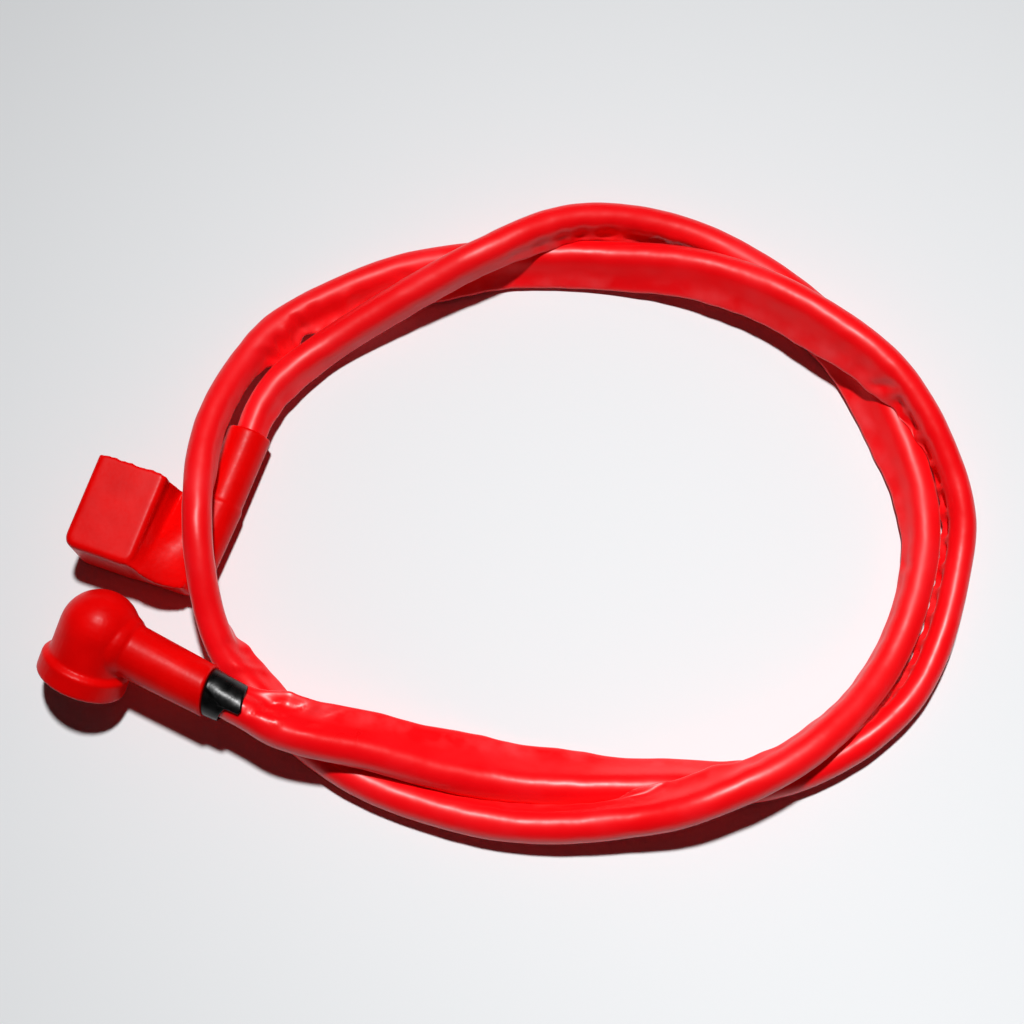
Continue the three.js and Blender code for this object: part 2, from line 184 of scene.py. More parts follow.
# Route of the free cable on its centre line, from the boot's arm to the hood's neck, metres
FREE_ROUTE = np.array([
    (0.0296, -0.0353, 0.0133),
    (0.0460, -0.0389, 0.0097),
    (0.0725, -0.0448, 0.0044),
    (0.1060, -0.0463, 0.0038),
    (0.1371, -0.0437, 0.0037),
    (0.1621, -0.0270, 0.0038),
    (0.1737, 0.0010, 0.0040),
    (0.1745, 0.0167, 0.0061),
    (0.1638, 0.0403, 0.0108),
    (0.1457, 0.0570, 0.0112),
    (0.1225, 0.0693, 0.0079),
    (0.0925, 0.0740, 0.0040),
    (0.0560, 0.0716, 0.0041),
    (0.0300, 0.0606, 0.0039),
    (0.0212, 0.0525, 0.0058),
    (0.0118, 0.0321, 0.0126),
    (0.0104, 0.0075, 0.0169),
    (0.0142, -0.0141, 0.0103),
    (0.0205, -0.0242, 0.0062),
    (0.0423, -0.0430, 0.0038),
    (0.0749, -0.0536, 0.0048),
    (0.1031, -0.0531, 0.0075),
    (0.1189, -0.0493, 0.0110),
    (0.1395, -0.0387, 0.0106),
    (0.1581, -0.0185, 0.0045),
    (0.1668, 0.0076, 0.0038),
    (0.1634, 0.0310, 0.0037),
    (0.1481, 0.0581, 0.0038),
    (0.1197, 0.0782, 0.0043),
    (0.0926, 0.0810, 0.0089),
    (0.0704, 0.0712, 0.0121),
    (0.0592, 0.0656, 0.0101),
    (0.0359, 0.0524, 0.0052),
    (0.0260, 0.0443, 0.0054),
])
BEYOND_TAPE = 2.0
BEYOND_NECK = 6.0
WITHIN_NECK = 2.0
SPAN_STEPS = 80
CHORD_REACH = 0.4

arm_points = [on_arm(CABLE_START), on_arm(ARM_LENGTH), on_arm(ARM_LENGTH + TAPE_LENGTH + BEYOND_TAPE)]
neck_points = [on_neck(NECK_LENGTH + BEYOND_NECK), on_neck(NECK_LENGTH - WITHIN_NECK), on_neck(CABLE_END)]
route_points = np.vstack([np.array(arm_points) * MM, FREE_ROUTE, np.array(neck_points) * MM])


def smooth_route(points):
    """Centripetal Catmull-Rom curve: cubic spans whose knots are spaced by the root of the chord."""
    ends = [2 * points[0] - points[1], *points, 2 * points[-1] - points[-2]]
    curve = []
    t = np.linspace(0, 1, SPAN_STEPS, endpoint=False)[:, None]
    for p0, p1, p2, p3 in zip(ends, ends[1:], ends[2:], ends[3:]):
        d0, d1, d2 = (np.linalg.norm(b - a) ** 0.5 for a, b in ((p0, p1), (p1, p2), (p2, p3)))
        m1 = ((p1 - p0) / d0 - (p2 - p0) / (d0 + d1) + (p2 - p1) / d1) * d1
        m2 = ((p2 - p1) / d1 - (p3 - p1) / (d1 + d2) + (p3 - p2) / d2) * d1
        curve.append(p1 + m1 * t + (3 * (p2 - p1) - 2 * m1 - m2) * t ** 2
                     + (2 * (p1 - p2) + m1 + m2) * t ** 3)
    return np.vstack(curve + [points[-1:]])


fine_route = smooth_route(route_points)
travelled = np.r_[0, np.cumsum(np.linalg.norm(np.diff(fine_route, axis=0), axis=1))]
route_length = travelled[-1]


def route_at(distance):
    """Point of the cable's centre line at a distance along it, both in metres."""
    return np.stack([np.interp(distance, travelled, fine_route[:, k]) for k in range(3)], -1)


def route_frames(s):
    """Centre points (mm) at distances s (mm), the level direction inwards and the one above both.

    The tangent is the chord over CHORD_REACH to both sides, the level direction is up x tangent
    made one long, and the direction above is tangent x level.
    """
    ahead = route_at((s + CHORD_REACH) * MM) - route_at((s - CHORD_REACH) * MM)
    tangent = ahead / np.linalg.norm(ahead, axis=1)[:, None]
    level = np.cross(UP, tangent)
    level /= np.linalg.norm(level, axis=1)[:, None]
    return route_at(s * MM) / MM, level, np.cross(tangent, level)


# Sleeve. Its section is a loose loop about the cable: an arc on the outer side of the bend, and a
# fold that reaches to the inner side. Columns: distance along the route, radius of the arc, reach
# of the fold from the cable's centre, its lift above the horizontal in degrees, pucker height.
SLEEVE_START = ARM_LENGTH + FIT_GAP - CABLE_START
SLEEVE_END = route_length / MM - (NECK_LENGTH - SOCKET_DEPTH + FIT_GAP - CABLE_END)
SLEEVE_SHAPE = [
    (SLEEVE_START, 3.65, 4.0, 0, 0),
    (25, 3.85, 4.9, 0, 0.1),
    (34, 4.2, 7.8, 4, 0.1),
    (58, 4.2, 8.2, -2, 0),
    (74, 4.2, 9.4, -10, 0),
    (90, 4.0, 9.0, -15, 0),
    (112, 3.8, 7.0, -22, 0.03),
    (138, 3.6, 6.4, -26, 0.1),
    (158, 3.3, 5.0, -36, 0.6),
    (180, 3.05, 5.1, -46, 0.9),
    (225, 3.0, 5.1, -48, 1.0),
    (244, 3.2, 5.2, -38, 0.9),
    (255, 3.6, 7.3, -28, 0.2),
    (275, 3.7, 8.3, -33, 0.05),
    (305, 3.7, 7.8, -24, 0.05),
    (340, 3.65, 7.2, -22, 0.05),
    (365, 3.65, 8.6, -18, 0.1),
    (386, 3.65, 7.4, -18, 0.3),
    (394, 3.7, 6.2, -14, 0.1),
    (398, 3.7, 4.8, -12, 0),
    (403.5, 3.8, 7.4, -24, 0),
    (407.5, 3.75, 7.0, -27, 0),
    (412, 3.5, 4.3, -25, 0),
    (417, 3.4, 3.6, -25, 0.1),
    (430, 3.4, 3.6, -25, 0.1),
    (442, 3.35, 4.0, -35, 0.1),
    (452, 3.2, 4.6, -80, 0.05),
    (473, 3.15, 4.7, -85, 0.05),
    (482, 3.3, 4.6, -45, 0.1),
    (487, 3.5, 5.2, -15, 0.1),
    (500, 3.65, 5.6, -20, 0.1),
    (513, 3.65, 5.4, -25, 0.1),
    (545, 3.85, 6.0, -25, 0.1),
    (602, 3.75, 7.1, -22, 0.1),
    (610, 3.8, 5.6, -26, 0.2),
    (622, 3.7, 4.7, -30, 0.1),
    (640, 3.5, 4.4, -35, 0.1),
    (668, 3.45, 4.4, -35, 0.1),
    (677, 3.5, 4.8, -30, 0.1),
    (690, 3.6, 6.0, -25, 0.1),
    (705, 3.65, 7.5, -22, 0.05),
    (733, 3.65, 7.5, -22, 0.1),
    (752, 3.6, 4.8, -38, 0.7),
    (775, 3.6, 4.6, -45, 0.8),
    (790, 3.6, 5.6, -38, 0.7),
    (808, 3.65, 5.4, -35, 0.3),
    (824, 3.65, 4.4, -30, 0.05),
    (862, 3.55, 4.3, -30, 0.05),
    (876, 3.45, 4.8, -20, 0.05),
    (SLEEVE_END - 12, 3.3, 4.3, -15, 0.1),
    (SLEEVE_END - 5, 3.2, 3.8, 0, 0),
    (SLEEVE_END, 3.2, 3.5, 0, 0),
]
# Hollow pressed into the upper wall between the cable and the fold's edge: distance, depth
SLEEVE_HOLLOW = [
    (SLEEVE_START, 0.0), (26, 0.9), (31, 1.5), (38, 1.2), (50, 0.5), (70, 0.25), (120, 0.2),
    (250, 0.2), (330, 0.3), (365, 0.7), (388, 1.0), (398, 0.7), (405, 0.4), (415, 0.2), (500, 0.1),
    (600, 0.3), (670, 0.2), (700, 0.4), (740, 0.3), (765, 0.9), (800, 0.5), (830, 0.1),
    (900, 0.1),
]
# Creases across the upper wall: distance at the cable, slant (mm along per mm across), depth
# (negative for a ridge), half width, and where across the section they begin and end
SLEEVE_CREASES = [
    (27.5, 0.9, 0.7, 0.9, -1.0, 6.0),
    (31.5, 1.3, -0.6, 1.0, 0.0, 7.5),
    (36.0, 1.4, 0.5, 1.3, 1.0, 8.0),
    (208.0, 0.8, 0.5, 1.2, 0.5, 5.0),
    (217.0, -0.6, 0.55, 1.1, 0.5, 5.0),
    (226.0, 0.7, 0.6, 1.0, 0.0, 5.0),
    (234.0, -0.5, 0.6, 1.1, 0.5, 5.0),
    (241.5, 0.6, 0.6, 1.2, 0.0, 5.0),
    (249.0, 0.9, 0.7, 1.3, 0.0, 6.5),
    (372.0, -0.8, 0.4, 1.8, 0.0, 8.0),
    (384.0, 0.9, -0.4, 1.6, 0.0, 7.0),
    (393.0, 0.5, 0.5, 1.4, -0.5, 6.0),
    (398.6, -0.25, 1.1, 0.9, 0.0, 6.5),
    (402.0, 0.3, -0.5, 1.1, 0.0, 7.5),
    (405.5, 0.1, 0.7, 0.8, 0.5, 7.5),
    (408.5, -0.3, -0.4, 0.9, 0.5, 7.0),
    (411.5, -0.6, 0.5, 0.9, 0.0, 6.0),
    (483.0, 1.1, 0.7, 0.9, -1.5, 5.0),
    (488.0, 1.1, -0.5, 1.0, -1.5, 5.5),
    (672.0, 0.7, 0.5, 1.2, 0.5, 5.0),
    (752.0, 0.5, 0.5, 1.1, 0.5, 5.0),
    (781.0, 0.6, 0.5, 1.2, 0.5, 6.0),
]
# How dull the sleeve is along its length: distance, 0 glossy .. 1 dull
SLEEVE_DULL = [
    (SLEEVE_START, 0.0), (150, 0.1), (240, 0.4), (270, 0.7), (300, 0.5), (340, 0.4), (360, 0.9),
    (410, 0.9), (430, 0.7), (470, 0.5), (490, 0.2), (590, 0.1), (615, 0.9), (690, 1.0),
    (720, 0.9), (770, 0.8), (800, 0.6), (900, 0.6),
]
# Radius of the fold's edge, its least reach beyond the arc, and the blend from one to the other
FOLD_RADIUS = 0.85
LEAST_FOLD = 0.02
FOLD_BLEND = 0.15
# Step between two rings, and the points of a ring on the arc, on each wall and on the fold's edge
SLEEVE_STEP = 0.7
ARC_POINTS, WALL_POINTS, TIP_POINTS = 20, 6, 8
# Puckers of the fold's edge: their pitch, their mean share of the table's height, and the depth
# of the hollow between two of them as a share of that height
PUCKER_PITCH = 6.2
PUCKER_SHARE = 0.75
PUCKER_HOLLOW = 1.7
# Irregular waves along the sleeve: height, period in millimetres and seed
LIFT_WAVE = (3.0, 46, 11)
REACH_WAVE = (0.06, 31, 9)
PITCH_WAVE = (0.8, 29, 3)
PUCKER_WAVE = (0.25, 13, 5)
SWAY_WAVE = (0.35, 7.3, 8)
SWAY_SHIFT = 2.1
# Slow swell of the loose wall: such a wave, how often it goes round the section, and its phase
SWELL_WAVES = [((0.10, 31, 21), 1, np.pi / 2), ((0.07, 19, 22), 2, 0.0), ((0.04, 8, 23), 3, 1.0)]
# Where the fold and the hollow begin, as shares of the arc's radius, and the hollow's least half width
FOLD_FROM = 0.3
HOLLOW_FROM = 0.45
HOLLOW_LEAST = 0.8
# Share of a dent that a point takes: its height / UPPER_HEIGHT + LEVEL_SHARE, kept within 0 .. 1
UPPER_HEIGHT = 1.2
LEVEL_SHARE = 0.3
CREASE_FADE = 1.2
# Height above the cable's centre that the upper wall keeps
WALL_ROOM = 0.2
WALL_BLEND = 0.3
# Room about the cable inside, about the other turn's cable and above the floor
CABLE_CLEARANCE = 2.9
STRAND_GAP = 3.85
FLOOR_CLEARANCE = 0.12
FLOOR_BLEND = 0.6
# Points of the other turn: their spacing, how far along the route they lie at least, and how near
# a ring they lie at most
STRAND_STEP = 1.5
SAME_STRAND = 45
STRAND_REACH = 19
PUSH_ROUNDS = 3


def fold_section(radius, reach):
    """Closed section (rings, around, 2) in millimetres: x towards the fold, y to the upper side.

    The hull of a circle of the given radius at the cable and a small circle at the fold's edge:
    an arc, a straight wall, the tip's arc and a straight wall back.
    """
    reach = kept_above(reach, radius + LEAST_FOLD, FOLD_BLEND)
    tip_radius = np.minimum(FOLD_RADIUS, radius)
    gap = reach - tip_radius
    half = np.arccos(np.clip((radius - tip_radius) / gap, -1, 1))[:, None]
    turn = half + (2 * np.pi - 2 * half) * np.linspace(0, 1, ARC_POINTS)[None]
    big = radius[:, None, None] * np.stack([np.cos(turn), np.sin(turn)], -1)
    tip_turn = -half + 2 * half * np.linspace(0, 1, TIP_POINTS)[None]
    tip = tip_radius[:, None, None] * np.stack([np.cos(tip_turn), np.sin(tip_turn)], -1)
    tip[..., 0] += gap[:, None]
    share = np.linspace(0, 1, WALL_POINTS + 2)[1:-1][None, :, None]
    lower = big[:, -1:] * (1 - share) + tip[:, :1] * share
    upper = tip[:, -1:] * (1 - share) + big[:, :1] * share
    return np.concatenate([big, lower, tip, upper], axis=1)


def press_upper_wall(section, s, radius, reach, hollow):
    """Lowers the upper wall of a section by its hollow and its creases, in place.

    The hollow is depth * exp(-((x - middle) / width)^2) between the cable and the fold's edge. A
    crease is depth * exp(-((s - place - slant * x) / half)^2), and fades out at both its ends.
    Where the wall would sink into the lower one, it is kept just above it.
    """
    across = section[..., 0]
    upper = np.clip(section[..., 1] / UPPER_HEIGHT + LEVEL_SHARE, 0, 1)
    root, edge = HOLLOW_FROM * radius, reach - FOLD_RADIUS
    middle = (root + edge)[:, None] / 2
    width = np.maximum((edge - root) / 2, HOLLOW_LEAST)[:, None]
    section[..., 1] -= hollow[:, None] * upper * np.exp(-((across - middle) / width) ** 2)
    for place, slant, depth, half, begin, end in SLEEVE_CREASES:
        line = np.exp(-((s[:, None] - place - slant * across) / half) ** 2)
        fade_in = np.clip((across - begin) / CREASE_FADE, 0, 1)
        fade_out = np.clip((end - across) / CREASE_FADE, 0, 1)
        section[..., 1] -= depth * line * fade_in * fade_out * upper
    kept = kept_above(section[..., 1], WALL_ROOM, WALL_BLEND)
    section[..., 1] += (kept - section[..., 1]) * np.clip(upper * 2 - 1, 0, 1)


def loose_section(s):
    """Section of the sleeve at distances s (rings, around, 2), x level inwards and y above, in
    millimetres, and how near each point lies to the fold's edge (0 .. 1).

    The fold's reach is the table's plus puckers: pucker height * lobes, where the lobes are a
    sine of PUCKER_PITCH that drifts. Points nearer to the cable's centre than CABLE_CLEARANCE
    move straight out to it, the wall swells by slow waves, and the lift turns the section.
    """
    radius, reach, lift, pucker = (keyed(SLEEVE_SHAPE, s, k) for k in (1, 2, 3, 4))
    lift = np.radians(lift + wander(s, *LIFT_WAVE))
    lobes = 0.5 + 0.5 * np.sin(2 * np.pi * (s + wander(s, *PITCH_WAVE)) / PUCKER_PITCH)
    ripple = lobes * (PUCKER_SHARE + wander(s, *PUCKER_WAVE))
    reach = reach + pucker * ripple + wander(s, *REACH_WAVE)
    section = fold_section(radius, reach)
    root = radius * FOLD_FROM
    near = np.clip((section[..., 0] - root[:, None]) / (reach - root)[:, None], 0, 1)
    sway = pucker * wander(s + SWAY_SHIFT, *SWAY_WAVE)
    section[..., 1] += near ** 2 * sway[:, None]
    hollow = keyed(SLEEVE_HOLLOW, s, 1) + PUCKER_HOLLOW * pucker * (1 - lobes)
    press_upper_wall(section, s, radius, reach, hollow)
    away = np.linalg.norm(section, axis=-1)
    section *= np.maximum(CABLE_CLEARANCE / away, 1)[..., None]
    around = np.arctan2(section[..., 1], section[..., 0])
    swell = np.zeros_like(around)
    for wave, turns, phase in SWELL_WAVES:
        swell += wander(s, *wave)[:, None] * np.sin(turns * around + phase)
    section *= 1 + (swell / radius[:, None])[..., None]
    c, d = np.cos(lift)[:, None], np.sin(lift)[:, None]
    x, y = section[..., 0], section[..., 1]
    return np.stack([x * c - y * d, x * d + y * c], -1), near


def clear_of_other_turn(grid, centre, s):
    """The grid with every point at least about STRAND_GAP from the other turn's centre line.

    Each round moves a point straight away from its nearest point of the other turn by what is
    missing. The moves are then spread over the neighbours with the weights 1 2 3 2 1 along the
    sleeve and 1 2 1 round it, so that no step is left.
    """
    other_s = np.arange(SLEEVE_START, SLEEVE_END, STRAND_STEP)
    other = route_at(other_s * MM) / MM
    for _ in range(PUSH_ROUNDS):
        move = np.zeros_like(grid)
        for i in range(len(s)):
            far = other[np.abs(other_s - s[i]) > SAME_STRAND]
            close = far[np.linalg.norm(far - centre[i], axis=1) < STRAND_REACH]
            if len(close) == 0:
                continue
            offset = grid[i][:, None] - close[None]
            distance = np.linalg.norm(offset, axis=2)
            points, nearest = np.arange(grid.shape[1]), distance.argmin(1)
            least = distance[points, nearest][:, None]
            move[i] = offset[points, nearest] / least * np.maximum(STRAND_GAP - least, 0)
        wide = np.pad(move, ((2, 2), (0, 0), (0, 0)), mode="edge")
        move = (wide[:-4] + 2 * wide[1:-3] + 3 * wide[2:-2] + 2 * wide[3:-1] + wide[4:]) / 9
        grid = grid + (np.roll(move, 1, 1) + 2 * move + np.roll(move, -1, 1)) / 4
    return grid


def sleeve_grid():
    """Grid of the sleeve in metres, the nearness to the fold's edge, and the rings' distances.

    A point is centre + x * level + y * above. It is then kept clear of the other turn, of its own
    cable and of the floor, where heights under a limit fall off as an exponential of the depth.
    """
    count = int((SLEEVE_END - SLEEVE_START) / SLEEVE_STEP) + 1
    s = np.linspace(SLEEVE_START, SLEEVE_END, count)
    section, near = loose_section(s)
    centre, level, above = (each[:, None] for each in route_frames(s))
    grid = centre + level * section[..., :1] + above * section[..., 1:]
    grid = clear_of_other_turn(grid, centre[:, 0], s)
    away = np.linalg.norm(grid - centre, axis=-1)
    grid = centre + (grid - centre) * np.maximum(CABLE_CLEARANCE / away, 1)[..., None]
    height = grid[..., 2]
    depth = np.minimum(height - FLOOR_CLEARANCE - FLOOR_BLEND, 0)
    lowered = FLOOR_CLEARANCE + FLOOR_BLEND * np.exp(depth / FLOOR_BLEND)
    grid[..., 2] = np.where(depth < 0, lowered, height)
    return grid * MM, near, s


sleeve_points, fold_nearness, sleeve_s = sleeve_grid()
sleeve = tube_object("loose_sleeve", sleeve_points)
dullness = np.repeat(keyed(SLEEVE_DULL, sleeve_s, 1), sleeve_points.shape[1])
paint_attribute(sleeve, "fold", np.r_[fold_nearness.ravel(), 0, 0])
paint_attribute(sleeve, "dull", np.r_[dullness, 0, 0])

# Insulated cable inside: a plain pipe on the same route, bare for a short way at each end
INSULATION_RADIUS = 2.8
INSULATION_BORE = 2.1
BARE_END = 8.0
PIPE_RINGS = 460
PIPE_SIDES = 20


def jacket_grid():
    """Pipe about the route: centre + radius * (cos a * level + sin a * above), along the outside
    and back along the bore."""
    s = np.linspace(BARE_END, route_length / MM - BARE_END, PIPE_RINGS)
    centre, level, above = (each[:, None] for each in route_frames(s))
    a = np.linspace(0, 2 * np.pi, PIPE_SIDES, endpoint=False)[None, :, None]
    spoke = np.cos(a) * level + np.sin(a) * above
    outer = centre + spoke * INSULATION_RADIUS
    inner = centre + spoke * INSULATION_BORE
    return np.concatenate([outer, inner[::-1]]) * MM


jacket = ring_solid("insulated_cable", jacket_grid())

# Tape: a wound ring over the arm's end and the sleeve's start, with a lobed far edge
TAPE_TURNS = 160
TAPE_ROWS = 19
TAPE_RADIUS = 4.78
TAPE_WALL = 0.3
TAPE_LAYER = 0.24
TAPE_SEAT = 0.2
TAPE_NEAR_RADIUS = 5.05
TAPE_TAPER = 0.35
TAPE_TAPER_LENGTH = 6.0
# Far edge of the band: degrees round the arm from the top, towards the far side, and distance
TAPE_EDGE = [(-180, 31.6), (-120, 31.0), (-88, 31.2), (-50, 31.6), (-27, 32.2), (-23, 35.2),
             (-12, 35.6), (20, 34.7), (48, 34.2), (75, 33.7), (130, 32.4), (180, 31.6)]
# Where the tape's end lies: distance along the arm and degrees round it, and the step's width
TAPE_SEAM = [(26.0, 0.0), (31.5, -28.0), (32.2, -25.0)]
SEAM_STEP = 3.0
# Unevenness of the wound band: height, how often it goes round, and its turn per millimetre
TAPE_WAVES = [(0.06, 3, 0.55), (0.03, 5, -1.0)]


def tape_grid():
    """Revolved band about the arm's axis: its layer thins once round from the seam's edge, the
    seam runs askew along it, and the far edge steps back where the tape ends."""
    turn = np.linspace(0, 2 * np.pi, TAPE_TURNS, endpoint=False)
    side = np.cross(CAP_AXIS, BOOT_AXIS)
    radial = np.cos(turn)[:, None] * CAP_AXIS + np.sin(turn)[:, None] * side
    top = np.arctan2(-side[2], CAP_AXIS[2])
    angle = np.degrees((turn + top + np.pi) % (2 * np.pi) - np.pi)
    slanted = np.tan(ARM_SLANT) * (ARM_RADIUS + TAPE_NEAR_RADIUS * np.cos(turn))
    near_edge = ARM_LENGTH + TAPE_SEAT - slanted
    far_edge = np.interp(angle, *np.array(TAPE_EDGE, float).T)
    share = np.linspace(0, 1, TAPE_ROWS)[:, None]
    along = near_edge * (1 - share) + far_edge * share
    after = (angle - np.interp(along, *np.array(TAPE_SEAM).T)) % 360
    layer = TAPE_LAYER * np.clip(after / SEAM_STEP, 0, 1) * (1 - after / 360)
    body = TAPE_RADIUS - TAPE_TAPER * np.clip((along - ARM_LENGTH) / TAPE_TAPER_LENGTH, 0, 1)
    for height, rounds, rate in TAPE_WAVES:
        body += height * np.sin(rounds * turn + rate * along)
    radius = np.concatenate([body + layer, (body - TAPE_WALL)[::-1]])
    place = np.concatenate([along, along[::-1]])
    grid = BOOT_ORIGIN + BOOT_AXIS * place[..., None] + radial[None] * radius[..., None]
    return grid[::-1] * MM


tape = ring_solid("tape_winding", tape_grid())


# Materials
def srgb(code):
    """Linear colour of an sRGB hex code."""
    parts = np.array([int(code[i:i + 2], 16) for i in (1, 3, 5)]) / 255
    linear = np.where(parts <= 0.04045, parts / 12.92, ((parts + 0.055) / 1.055) ** 2.4)
    return (*linear.tolist(), 1.0)


def material(name):
    """A new node material and its tree, with only the output left in it."""
    made = bpy.data.materials.new(name)
    made.use_nodes = True
    tree = made.node_tree
    for node in list(tree.nodes):
        if node.type != "OUTPUT_MATERIAL":
            tree.nodes.remove(node)
    return made, tree


def add(tree, kind, links=None, stops=None, **values):
    """Adds a node. Values set its properties or its sockets, links join sockets of other nodes to
    it, and stops are a colour ramp's (position, linear colour)."""
    node = tree.nodes.new(kind)
    for key, value in values.items():
        if hasattr(node, key):
            setattr(node, key, value)
        else:
            node.inputs[key.replace("_", " ")].default_value = value
    for target, source in (links or {}).items():
        tree.links.new(source, node.inputs[target])
    if stops:
        elements = node.color_ramp.elements
        elements.remove(elements[-1])
        elements[0].position, elements[0].color = stops[0]
        for position, colour in stops[1:]:
            elements.new(position).color = colour
    return node


def output(tree, shader):
    """Joins a shader to the surface of its tree's output."""
    sink = next(node for node in tree.nodes if node.type == "OUTPUT_MATERIAL")
    tree.links.new(shader.outputs[0], sink.inputs["Surface"])


# Sockets of a colour Mix node, which shares the names of its sockets with other kinds
MIX_FACTOR, MIX_FIRST, MIX_SECOND, MIX_RESULT = 0, 6, 7, 2


def sleeve_material():
    """Soft plasticised PVC sleeving: glossy red, slightly translucent, with painted light: paler pink
    at the fold's edge and in patches on the flat doubled wall, for light through and off the thin wall."""
    cloud_size, patch_size, wrinkle_size, grain_size = 14 * MM, 8 * MM, 5.5 * MM, 1.6 * MM
    made, tree = material("plasticised_pvc_sleeve")
    place = add(tree, "ShaderNodeTexCoord").outputs["Object"]
    fold = add(tree, "ShaderNodeAttribute", attribute_name="fold").outputs["Fac"]
    dull = add(tree, "ShaderNodeAttribute", attribute_name="dull").outputs["Fac"]
    cloud = add(tree, "ShaderNodeTexNoise", {"Vector": place}, Scale=1 / cloud_size, Detail=3.0)
    grain = add(tree, "ShaderNodeTexNoise", {"Vector": place}, Scale=1 / grain_size, Detail=4.0)
    wrinkle = add(tree, "ShaderNodeTexNoise", {"Vector": place}, Scale=1 / wrinkle_size, Detail=2.0)
    patch = add(tree, "ShaderNodeTexNoise", {"Vector": place}, Scale=1 / patch_size, Detail=5.0)
    tone = add(tree, "ShaderNodeValToRGB", {"Fac": cloud.outputs["Fac"]}, stops=[
        (0.30, srgb("#FA050E")), (0.52, srgb("#FF0812")), (0.72, srgb("#FF141E"))])
    # painted light: the sleeve turns paler pink near the fold's edge, for light shining through and off
    # the thin bent wall
    edge = add(tree, "ShaderNodeMapRange", {"Value": fold}, interpolation_type="SMOOTHSTEP",
               From_Min=0.80, From_Max=1.0, To_Min=0.0, To_Max=0.22)
    # painted light: pale patches on the flat parts of the fold, for light through and off the doubled
    # wall
    painted_flat_light = add(tree, "ShaderNodeMapRange", {"Value": patch.outputs["Fac"]},
                From_Min=0.42, From_Max=0.70, To_Min=0.0, To_Max=0.40)
    flat = add(tree, "ShaderNodeMapRange", {"Value": fold},
               From_Min=0.3, From_Max=0.65, To_Min=0.0, To_Max=1.0)
    painted_flat_light_mask = add(tree, "ShaderNodeMath", {0: painted_flat_light.outputs["Result"], 1: flat.outputs["Result"]},
                 operation="MULTIPLY")
    # painted light: the larger of the two painted-light masks mixes the sleeve's red towards pale pink
    painted_light = add(tree, "ShaderNodeMath", {0: painted_flat_light_mask.outputs[0], 1: edge.outputs["Result"]},
                operation="MAXIMUM")
    colour = add(tree, "ShaderNodeMix", {MIX_FACTOR: painted_light.outputs[0], MIX_FIRST: tone.outputs["Color"]},
                 data_type="RGBA")
    # pale pink of the painted light
    colour.inputs[MIX_SECOND].default_value = srgb("#FF5A5F")
    gloss = add(tree, "ShaderNodeMapRange", {"Value": cloud.outputs["Fac"]},
                From_Min=0.3, From_Max=0.7, To_Min=0.26, To_Max=0.38)
    wear = add(tree, "ShaderNodeMapRange", {"Value": dull}, To_Min=0.0, To_Max=0.13)
    rough = add(tree, "ShaderNodeMath", {0: gloss.outputs["Result"], 1: wear.outputs["Result"]},
                operation="ADD")
    low = add(tree, "ShaderNodeBump", {"Height": wrinkle.outputs["Fac"]},
              Strength=0.5, Distance=0.25 * MM)
    high = add(tree, "ShaderNodeBump", {"Height": grain.outputs["Fac"], "Normal": low.outputs["Normal"]},
               Strength=0.25, Distance=0.04 * MM)
    shader = add(tree, "ShaderNodeBsdfPrincipled", {
        "Base Color": colour.outputs[MIX_RESULT], "Roughness": rough.outputs[0],
        "Normal": high.outputs["Normal"]})
    shader.inputs["IOR"].default_value = 1.53
    shader.inputs["Specular IOR Level"].default_value = 0.3
    shader.inputs["Subsurface Weight"].default_value = 0.12
    shader.inputs["Subsurface Radius"].default_value = (1.0, 0.15, 0.12)
    shader.inputs["Subsurface Scale"].default_value = 1.2 * MM
    shader.inputs["Sheen Weight"].default_value = 0.12
    shader.inputs["Sheen Roughness"].default_value = 0.35
    output(tree, shader)
    return made


def boot_material():
    """Dip-moulded PVC boot: satin red in slightly uneven tones, with an orange peel that is drawn
    coarser than the real one, so that it shows."""
    cloud_size, dent_size, peel_size = 9 * MM, 6 * MM, 0.8 * MM
    made, tree = material("dip_moulded_pvc")
    place = add(tree, "ShaderNodeTexCoord").outputs["Object"]
    cloud = add(tree, "ShaderNodeTexNoise", {"Vector": place}, Scale=1 / cloud_size, Detail=4.0)
    peel = add(tree, "ShaderNodeTexNoise", {"Vector": place}, Scale=1 / peel_size, Detail=3.0)
    dent = add(tree, "ShaderNodeTexNoise", {"Vector": place}, Scale=1 / dent_size, Detail=1.0)
    tone = add(tree, "ShaderNodeValToRGB", {"Fac": cloud.outputs["Fac"]}, stops=[
        (0.28, srgb("#DC0202")), (0.5, srgb("#E80303")), (0.75, srgb("#F40505"))])
    rough = add(tree, "ShaderNodeMapRange", {"Value": peel.outputs["Fac"]},
                From_Min=0.3, From_Max=0.7, To_Min=0.30, To_Max=0.40)
    low = add(tree, "ShaderNodeBump", {"Height": dent.outputs["Fac"]},
              Strength=0.4, Distance=0.2 * MM)
    high = add(tree, "ShaderNodeBump", {"Height": peel.outputs["Fac"], "Normal": low.outputs["Normal"]},
               Strength=0.3, Distance=0.03 * MM)
    shader = add(tree, "ShaderNodeBsdfPrincipled", {
        "Base Color": tone.outputs["Color"], "Roughness": rough.outputs["Result"],
        "Normal": high.outputs["Normal"]})
    shader.inputs["IOR"].default_value = 1.5
    shader.inputs["Specular IOR Level"].default_value = 0.1
    shader.inputs["Subsurface Weight"].default_value = 0.08
    shader.inputs["Subsurface Radius"].default_value = (1.0, 0.12, 0.08)
    shader.inputs["Subsurface Scale"].default_value = 0.8 * MM
    output(tree, shader)
    return made


